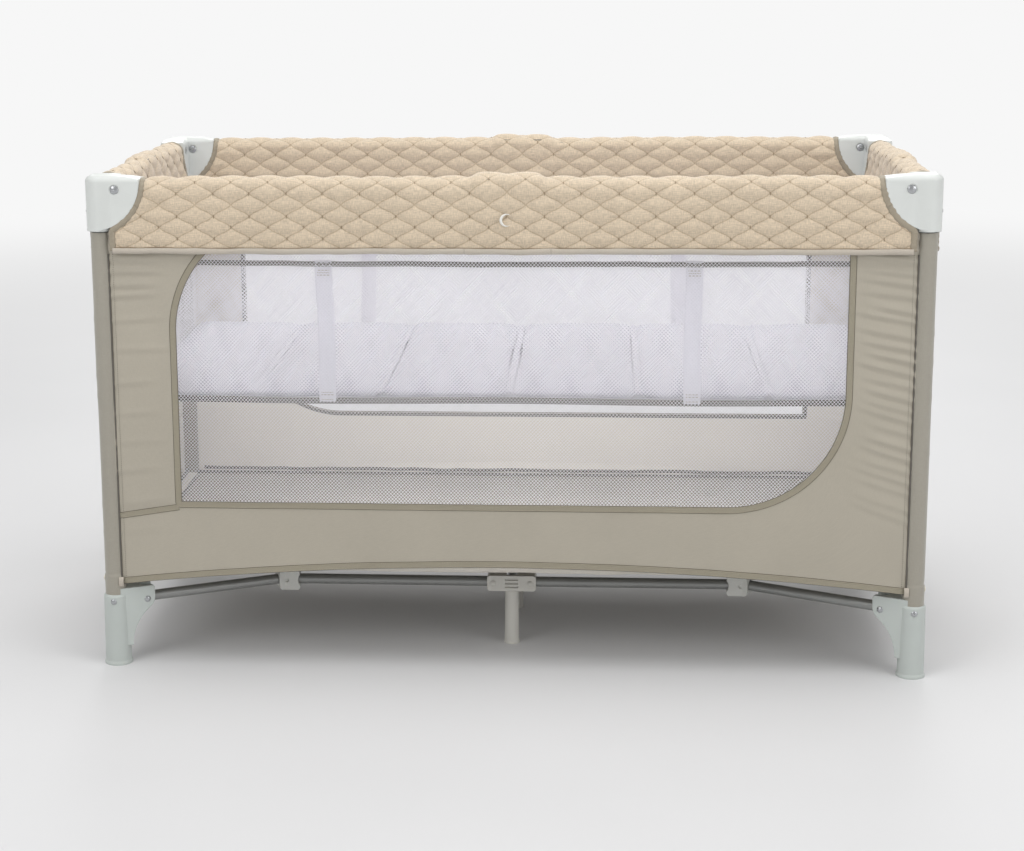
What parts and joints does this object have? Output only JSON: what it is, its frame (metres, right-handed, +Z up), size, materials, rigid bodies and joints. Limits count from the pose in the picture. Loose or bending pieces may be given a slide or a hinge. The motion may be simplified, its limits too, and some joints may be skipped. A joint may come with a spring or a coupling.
{
  "type": "travel play yard",
  "caption": "Folding travel play yard with corner posts, hinged top rails, hub base, quilted rail covers, mesh walls, hanging insert and mattress.",
  "frame": {"origin": "floor level, centre of the footprint", "axes": "+X along the length to the right, +Y to the rear, +Z up"},
  "size_m": [1.253, 0.653, 0.7575],
  "materials": {
    "frame_tube": "grey powder coat, satin",
    "cap_plastic": "pale grey, glossy moulding",
    "foot_plastic": "pale grey-green moulding",
    "bolt_steel": "zinc plated",
    "lock_plastic": "grey moulding",
    "button_plastic": "dark grey moulding",
    "knuckle_plastic": "off-white moulding",
    "hub_plastic": "warm grey moulding",
    "quilted_cloth": "beige quilted cloth",
    "wall_cloth": "taupe woven cloth",
    "mesh_net": "white knitted net",
    "floor_cloth": "taupe woven cloth",
    "insert_cloth": "white webbing and cloth",
    "mattress_cloth": "white padded cloth"
  },
  "bodies": {
    "corner_front_left": {"post_front_left": "frame_tube", "cap_front_left": "cap_plastic", "foot_front_left": "foot_plastic", "bolts_front_left": "bolt_steel", "panel_front": "wall_cloth", "panel_left": "wall_cloth", "cover_front": "quilted_cloth", "covers_ends": "quilted_cloth", "mesh_windows": "mesh_net"},
    "corner_front_right": {"post_front_right": "frame_tube", "cap_front_right": "cap_plastic", "foot_front_right": "foot_plastic", "bolts_front_right": "bolt_steel", "panel_right": "wall_cloth"},
    "corner_rear_left": {"post_rear_left": "frame_tube", "cap_rear_left": "cap_plastic", "foot_rear_left": "foot_plastic", "bolts_rear_left": "bolt_steel", "panel_rear": "wall_cloth", "cover_rear": "quilted_cloth"},
    "corner_rear_right": {"post_rear_right": "frame_tube", "cap_rear_right": "cap_plastic", "foot_rear_right": "foot_plastic", "bolts_rear_right": "bolt_steel"},
    "rail_front_left": {"rail_front_left": "frame_tube"},
    "rail_front_right": {"rail_front_right": "frame_tube"},
    "rail_rear_left": {"rail_rear_left": "frame_tube"},
    "rail_rear_right": {"rail_rear_right": "frame_tube"},
    "rail_left_front": {"rail_left_front": "frame_tube"},
    "rail_left_rear": {"rail_left_rear": "frame_tube"},
    "rail_right_front": {"rail_right_front": "frame_tube"},
    "rail_right_rear": {"rail_right_rear": "frame_tube"},
    "lock_front": {"lock_front": "lock_plastic"},
    "lock_rear": {"lock_rear": "lock_plastic"},
    "lock_left": {"lock_left": "lock_plastic"},
    "lock_right": {"lock_right": "lock_plastic"},
    "button_front": {"button_front": "button_plastic"},
    "button_rear": {"button_rear": "button_plastic"},
    "button_left": {"button_left": "button_plastic"},
    "button_right": {"button_right": "button_plastic"},
    "arm_front_left": {"arm_front_left": "frame_tube"},
    "arm_front_right": {"arm_front_right": "frame_tube"},
    "arm_rear_left": {"arm_rear_left": "frame_tube"},
    "arm_rear_right": {"arm_rear_right": "frame_tube"},
    "knuckle_front_left": {"knuckle_front_left": "knuckle_plastic", "floor_cloth": "floor_cloth"},
    "knuckle_front_right": {"knuckle_front_right": "knuckle_plastic"},
    "knuckle_rear_left": {"knuckle_rear_left": "knuckle_plastic"},
    "knuckle_rear_right": {"knuckle_rear_right": "knuckle_plastic"},
    "spine_front_left": {"spine_front_left": "frame_tube"},
    "spine_front_right": {"spine_front_right": "frame_tube"},
    "spine_rear_left": {"spine_rear_left": "frame_tube"},
    "spine_rear_right": {"spine_rear_right": "frame_tube"},
    "bracket_front": {"bracket_front": "hub_plastic"},
    "bracket_rear": {"bracket_rear": "hub_plastic"},
    "link_front": {"link_front": "frame_tube"},
    "link_rear": {"link_rear": "frame_tube"},
    "hub": {"hub": "hub_plastic"},
    "insert": {"insert": "insert_cloth"},
    "mattress": {"mattress": "mattress_cloth"}
  },
  "joints": [
    {"name": "fold", "type": "hinge", "parent": "corner_front_left", "child": "rail_front_left", "pos_m": [-0.578, -0.305, 0.736], "axis": [0, 1, 0], "range_deg": [0, 84], "deforming": ["panel_front", "panel_rear", "panel_left", "panel_right", "cover_front", "cover_rear", "covers_ends", "mesh_windows", "floor_cloth", "insert", "mattress"]},
    {"name": "lock_front_turn", "type": "hinge", "parent": "rail_front_left", "child": "lock_front", "pos_m": [-0.0625, -0.305, 0.736], "axis": [0, -1, 0], "range_deg": [0, 84]},
    {"name": "rail_front_right_turn", "type": "hinge", "parent": "lock_front", "child": "rail_front_right", "pos_m": [0.0625, -0.305, 0.736], "axis": [0, -1, 0], "range_deg": [0, 84]},
    {"name": "corner_front_right_turn", "type": "hinge", "parent": "rail_front_right", "child": "corner_front_right", "pos_m": [0.578, -0.305, 0.736], "axis": [0, 1, 0], "range_deg": [0, 84]},
    {"name": "rail_left_front_turn", "type": "hinge", "parent": "corner_front_left", "child": "rail_left_front", "pos_m": [-0.605, -0.263, 0.736], "axis": [-1, 0, 0], "range_deg": [0, 84]},
    {"name": "lock_left_turn", "type": "hinge", "parent": "rail_left_front", "child": "lock_left", "pos_m": [-0.605, -0.0625, 0.736], "axis": [1, 0, 0], "range_deg": [0, 84]},
    {"name": "rail_left_rear_turn", "type": "hinge", "parent": "lock_left", "child": "rail_left_rear", "pos_m": [-0.605, 0.0625, 0.736], "axis": [1, 0, 0], "range_deg": [0, 84]},
    {"name": "corner_rear_left_turn", "type": "hinge", "parent": "rail_left_rear", "child": "corner_rear_left", "pos_m": [-0.605, 0.263, 0.736], "axis": [-1, 0, 0], "range_deg": [0, 84]},
    {"name": "rail_right_front_turn", "type": "hinge", "parent": "corner_front_right", "child": "rail_right_front", "pos_m": [0.605, -0.263, 0.736], "axis": [-1, 0, 0], "range_deg": [0, 84]},
    {"name": "lock_right_turn", "type": "hinge", "parent": "rail_right_front", "child": "lock_right", "pos_m": [0.605, -0.0625, 0.736], "axis": [1, 0, 0], "range_deg": [0, 84]},
    {"name": "rail_right_rear_turn", "type": "hinge", "parent": "lock_right", "child": "rail_right_rear", "pos_m": [0.605, 0.0625, 0.736], "axis": [1, 0, 0], "range_deg": [0, 84]},
    {"name": "corner_rear_right_turn", "type": "hinge", "parent": "rail_right_rear", "child": "corner_rear_right", "pos_m": [0.605, 0.263, 0.736], "axis": [-1, 0, 0], "range_deg": [0, 84]},
    {"name": "rail_rear_left_turn", "type": "hinge", "parent": "corner_rear_left", "child": "rail_rear_left", "pos_m": [-0.578, 0.305, 0.736], "axis": [0, 1, 0], "range_deg": [0, 84]},
    {"name": "lock_rear_turn", "type": "hinge", "parent": "rail_rear_left", "child": "lock_rear", "pos_m": [-0.0625, 0.305, 0.736], "axis": [0, -1, 0], "range_deg": [0, 84]},
    {"name": "rail_rear_right_turn", "type": "hinge", "parent": "corner_rear_right", "child": "rail_rear_right", "pos_m": [0.578, 0.305, 0.736], "axis": [0, -1, 0], "range_deg": [0, 84]},
    {"name": "arm_front_left_turn", "type": "hinge", "parent": "corner_front_left", "child": "arm_front_left", "pos_m": [-0.5649, -0.28457, 0.1], "axis": [0.454, -0.891, 0], "range_deg": [0, 84]},
    {"name": "knuckle_front_left_turn", "type": "hinge", "parent": "arm_front_left", "child": "knuckle_front_left", "pos_m": [-0.36265, -0.18152, 0.1], "axis": [-0.454, 0.891, 0], "range_deg": [0, 84]},
    {"name": "spine_front_left_turn", "type": "hinge", "parent": "knuckle_front_left", "child": "spine_front_left", "pos_m": [-0.34265, -0.18152, 0.1], "axis": [0, -1, 0], "range_deg": [0, 84]},
    {"name": "bracket_front_turn", "type": "hinge", "parent": "spine_front_left", "child": "bracket_front", "pos_m": [-0.02941, -0.18152, 0.1], "axis": [0, 1, 0], "range_deg": [0, 84]},
    {"name": "spine_front_right_turn", "type": "hinge", "parent": "bracket_front", "child": "spine_front_right", "pos_m": [0.02941, -0.18152, 0.1], "axis": [0, 1, 0], "range_deg": [0, 84]},
    {"name": "knuckle_front_right_turn", "type": "hinge", "parent": "spine_front_right", "child": "knuckle_front_right", "pos_m": [0.34265, -0.18152, 0.1], "axis": [0, -1, 0], "range_deg": [0, 84]},
    {"name": "arm_front_right_turn", "type": "hinge", "parent": "knuckle_front_right", "child": "arm_front_right", "pos_m": [0.36265, -0.18152, 0.1], "axis": [0.454, 0.891, 0], "range_deg": [0, 84]},
    {"name": "link_front_turn", "type": "hinge", "parent": "bracket_front", "child": "link_front", "pos_m": [0, -0.18152, 0.1], "axis": [1, 0, 0], "range_deg": [0, 84]},
    {"name": "hub_turn", "type": "hinge", "parent": "link_front", "child": "hub", "pos_m": [0, -0.08407, 0.1], "axis": [-1, 0, 0], "range_deg": [0, 84]},
    {"name": "link_rear_turn", "type": "hinge", "parent": "hub", "child": "link_rear", "pos_m": [0, 0.08407, 0.1], "axis": [-1, 0, 0], "range_deg": [0, 84]},
    {"name": "bracket_rear_turn", "type": "hinge", "parent": "link_rear", "child": "bracket_rear", "pos_m": [0, 0.18152, 0.1], "axis": [1, 0, 0], "range_deg": [0, 84]},
    {"name": "spine_rear_left_turn", "type": "hinge", "parent": "bracket_rear", "child": "spine_rear_left", "pos_m": [-0.02941, 0.18152, 0.1], "axis": [0, -1, 0], "range_deg": [0, 84]},
    {"name": "knuckle_rear_left_turn", "type": "hinge", "parent": "spine_rear_left", "child": "knuckle_rear_left", "pos_m": [-0.34265, 0.18152, 0.1], "axis": [0, 1, 0], "range_deg": [0, 84]},
    {"name": "arm_rear_left_turn", "type": "hinge", "parent": "knuckle_rear_left", "child": "arm_rear_left", "pos_m": [-0.36265, 0.18152, 0.1], "axis": [-0.454, -0.891, 0], "range_deg": [0, 84]},
    {"name": "spine_rear_right_turn", "type": "hinge", "parent": "bracket_rear", "child": "spine_rear_right", "pos_m": [0.02941, 0.18152, 0.1], "axis": [0, 1, 0], "range_deg": [0, 84]},
    {"name": "knuckle_rear_right_turn", "type": "hinge", "parent": "spine_rear_right", "child": "knuckle_rear_right", "pos_m": [0.34265, 0.18152, 0.1], "axis": [0, -1, 0], "range_deg": [0, 84]},
    {"name": "arm_rear_right_turn", "type": "hinge", "parent": "knuckle_rear_right", "child": "arm_rear_right", "pos_m": [0.36265, 0.18152, 0.1], "axis": [-0.454, 0.891, 0], "range_deg": [0, 84]},
    {"name": "insert_lift", "type": "slide", "parent": "bracket_front", "child": "insert", "axis": [0, 0, 1], "range_m": [0, 0.1]},
    {"name": "mattress_lift", "type": "slide", "parent": "insert", "child": "mattress", "axis": [0, 0, 1], "range_m": [0, 0.35]},
    {"name": "button_front_press", "type": "slide", "parent": "lock_front", "child": "button_front", "axis": [0, 0, 1], "range_m": [0, 0.005]},
    {"name": "button_rear_press", "type": "slide", "parent": "lock_rear", "child": "button_rear", "axis": [0, 0, 1], "range_m": [0, 0.005]},
    {"name": "button_left_press", "type": "slide", "parent": "lock_left", "child": "button_left", "axis": [0, 0, 1], "range_m": [0, 0.005]},
    {"name": "button_right_press", "type": "slide", "parent": "lock_right", "child": "button_right", "axis": [0, 0, 1], "range_m": [0, 0.005]}
  ],
  "couplings": [
    {"joint": "lock_front_turn", "follows": "fold", "ratio": 1},
    {"joint": "rail_front_right_turn", "follows": "fold", "ratio": 1},
    {"joint": "corner_front_right_turn", "follows": "fold", "ratio": 1},
    {"joint": "rail_left_front_turn", "follows": "fold", "ratio": 1},
    {"joint": "lock_left_turn", "follows": "fold", "ratio": 1},
    {"joint": "rail_left_rear_turn", "follows": "fold", "ratio": 1},
    {"joint": "corner_rear_left_turn", "follows": "fold", "ratio": 1},
    {"joint": "rail_right_front_turn", "follows": "fold", "ratio": 1},
    {"joint": "lock_right_turn", "follows": "fold", "ratio": 1},
    {"joint": "rail_right_rear_turn", "follows": "fold", "ratio": 1},
    {"joint": "corner_rear_right_turn", "follows": "fold", "ratio": 1},
    {"joint": "rail_rear_left_turn", "follows": "fold", "ratio": 1},
    {"joint": "lock_rear_turn", "follows": "fold", "ratio": 1},
    {"joint": "rail_rear_right_turn", "follows": "fold", "ratio": 1},
    {"joint": "arm_front_left_turn", "follows": "fold", "ratio": 1},
    {"joint": "knuckle_front_left_turn", "follows": "fold", "ratio": 1},
    {"joint": "spine_front_left_turn", "follows": "fold", "ratio": 1},
    {"joint": "bracket_front_turn", "follows": "fold", "ratio": 1},
    {"joint": "spine_front_right_turn", "follows": "fold", "ratio": 1},
    {"joint": "knuckle_front_right_turn", "follows": "fold", "ratio": 1},
    {"joint": "arm_front_right_turn", "follows": "fold", "ratio": 1},
    {"joint": "link_front_turn", "follows": "fold", "ratio": 1},
    {"joint": "hub_turn", "follows": "fold", "ratio": 1},
    {"joint": "link_rear_turn", "follows": "fold", "ratio": 1},
    {"joint": "bracket_rear_turn", "follows": "fold", "ratio": 1},
    {"joint": "spine_rear_left_turn", "follows": "fold", "ratio": 1},
    {"joint": "knuckle_rear_left_turn", "follows": "fold", "ratio": 1},
    {"joint": "arm_rear_left_turn", "follows": "fold", "ratio": 1},
    {"joint": "spine_rear_right_turn", "follows": "fold", "ratio": 1},
    {"joint": "knuckle_rear_right_turn", "follows": "fold", "ratio": 1},
    {"joint": "arm_rear_right_turn", "follows": "fold", "ratio": 1},
    {"joint": "insert_lift", "follows": "fold", "m_per_rad": 0.0682}
  ]
}
